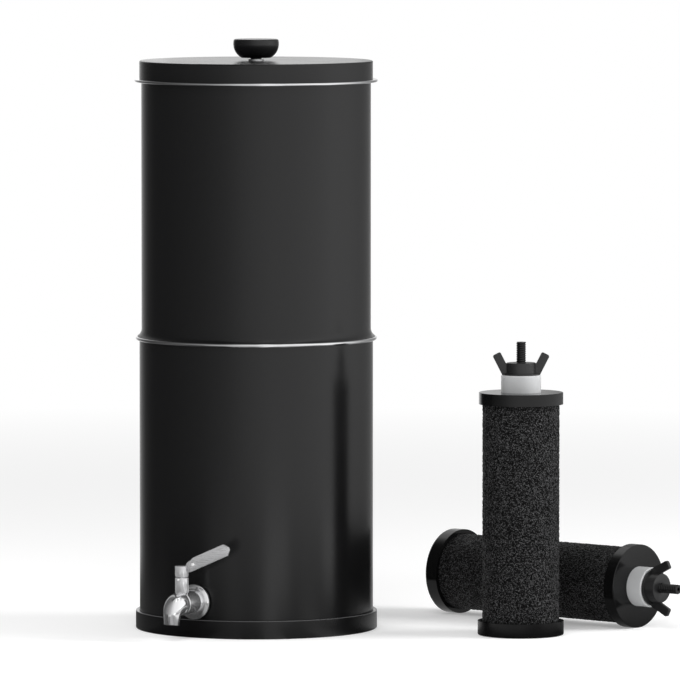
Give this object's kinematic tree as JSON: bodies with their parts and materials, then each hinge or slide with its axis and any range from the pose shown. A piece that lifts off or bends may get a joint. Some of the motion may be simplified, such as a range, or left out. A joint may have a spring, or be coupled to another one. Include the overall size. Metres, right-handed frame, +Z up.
{
  "type": "gravity water filter with tap",
  "caption": "Gravity water filter: two stacked black steel chambers, lidded, with a lever tap on the lower one and carbon filter elements beside it.",
  "frame": {"origin": "centre of the underside of the base boot, on the drum's axis, on the surface it stands on", "axes": "+Z up along the drum's axis, -Y out along the tap, +X to the right of someone facing the tap, where the lever points when closed"},
  "size_m": [0.4404, 0.3831, 0.5141],
  "materials": {
    "powder_coat": "satin black powder coat on steel, bare brushed steel inside",
    "polished_steel": "polished",
    "tap_steel": "polished stainless steel",
    "lever_steel": "fine brushed stainless steel",
    "fastener_steel": "bright stainless steel",
    "bare_steel": "bare brushed steel sheet",
    "boot_rubber": "satin moulded rubber",
    "washer_silicone": "dark grey silicone",
    "seat_plastic": "white low-friction plastic",
    "knob_plastic": "satin black moulded",
    "cap_plastic": "satin black moulded",
    "carbon": "granular pressed carbon",
    "sleeve_silicone": "milky white silicone"
  },
  "bodies": {
    "stand": {"base_boot": "boot_rubber", "lower_chamber": "powder_coat", "lower_chamber_floor": "bare_steel", "lower_rim_trim": "polished_steel", "tap_outer_washer": "washer_silicone", "tap_inner_washer": "washer_silicone", "tap_lock_nut": "fastener_steel", "tap_flange": "tap_steel", "tap_body": "tap_steel", "valve_seats": "seat_plastic", "seat_retainer": "fastener_steel", "tap_bonnet": "tap_steel", "bonnet_screw": "fastener_steel"},
    "upper_tank": {"upper_chamber": "powder_coat", "upper_rim_trim": "polished_steel"},
    "lid_cover": {"lid": "powder_coat", "knob_collar": "polished_steel", "lid_knob": "knob_plastic", "knob_washer": "fastener_steel", "knob_screw": "fastener_steel"},
    "tap_lever": {"valve_ball": "tap_steel", "valve_stem": "tap_steel", "stem_o_rings": "washer_silicone", "handle_hub": "tap_steel", "lever_handle": "lever_steel", "handle_rivet": "fastener_steel"},
    "standing_element": {"standing_bottom_cap": "cap_plastic", "standing_carbon_block": "carbon", "standing_top_cap": "cap_plastic", "standing_stem": "cap_plastic", "standing_seal_sleeve": "sleeve_silicone"},
    "lying_element": {"lying_bottom_cap": "cap_plastic", "lying_carbon_block": "carbon", "lying_top_cap": "cap_plastic", "lying_stem": "cap_plastic", "lying_seal_sleeve": "sleeve_silicone"},
    "standing_nut": {"standing_wing_nut": "cap_plastic"},
    "lying_nut": {"lying_wing_nut": "cap_plastic"}
  },
  "joints": [
    {"name": "upper_tank_lift", "type": "slide", "parent": "stand", "child": "upper_tank", "axis": [0, 0, 1], "range_m": [0, 0.12]},
    {"name": "lid_lift", "type": "slide", "parent": "upper_tank", "child": "lid_cover", "axis": [0, 0, 1], "range_m": [0, 0.08]},
    {"name": "tap_lever_turn", "type": "hinge", "parent": "stand", "child": "tap_lever", "pos_m": [0, -0.12435, 0.0312], "axis": [0, 0, -1], "range_deg": [0, 90]},
    {"name": "standing_element_lift", "type": "slide", "parent": "stand", "child": "standing_element", "axis": [0, 0, 1], "range_m": [0, 0.12]},
    {"name": "lying_element_lift", "type": "slide", "parent": "stand", "child": "lying_element", "axis": [0, 0, 1], "range_m": [0, 0.12]},
    {"name": "standing_nut_turn", "type": "hinge", "parent": "standing_element", "child": "standing_nut", "pos_m": [0.2293, 0.0631, 0.2256], "axis": [0, 0, 1], "continuous": true},
    {"name": "lying_nut_turn", "type": "hinge", "parent": "lying_element", "child": "lying_nut", "pos_m": [0.30547, 0.16175, 0.03643], "axis": [0.9866, -0.1633, -0.0043], "continuous": true}
  ]
}
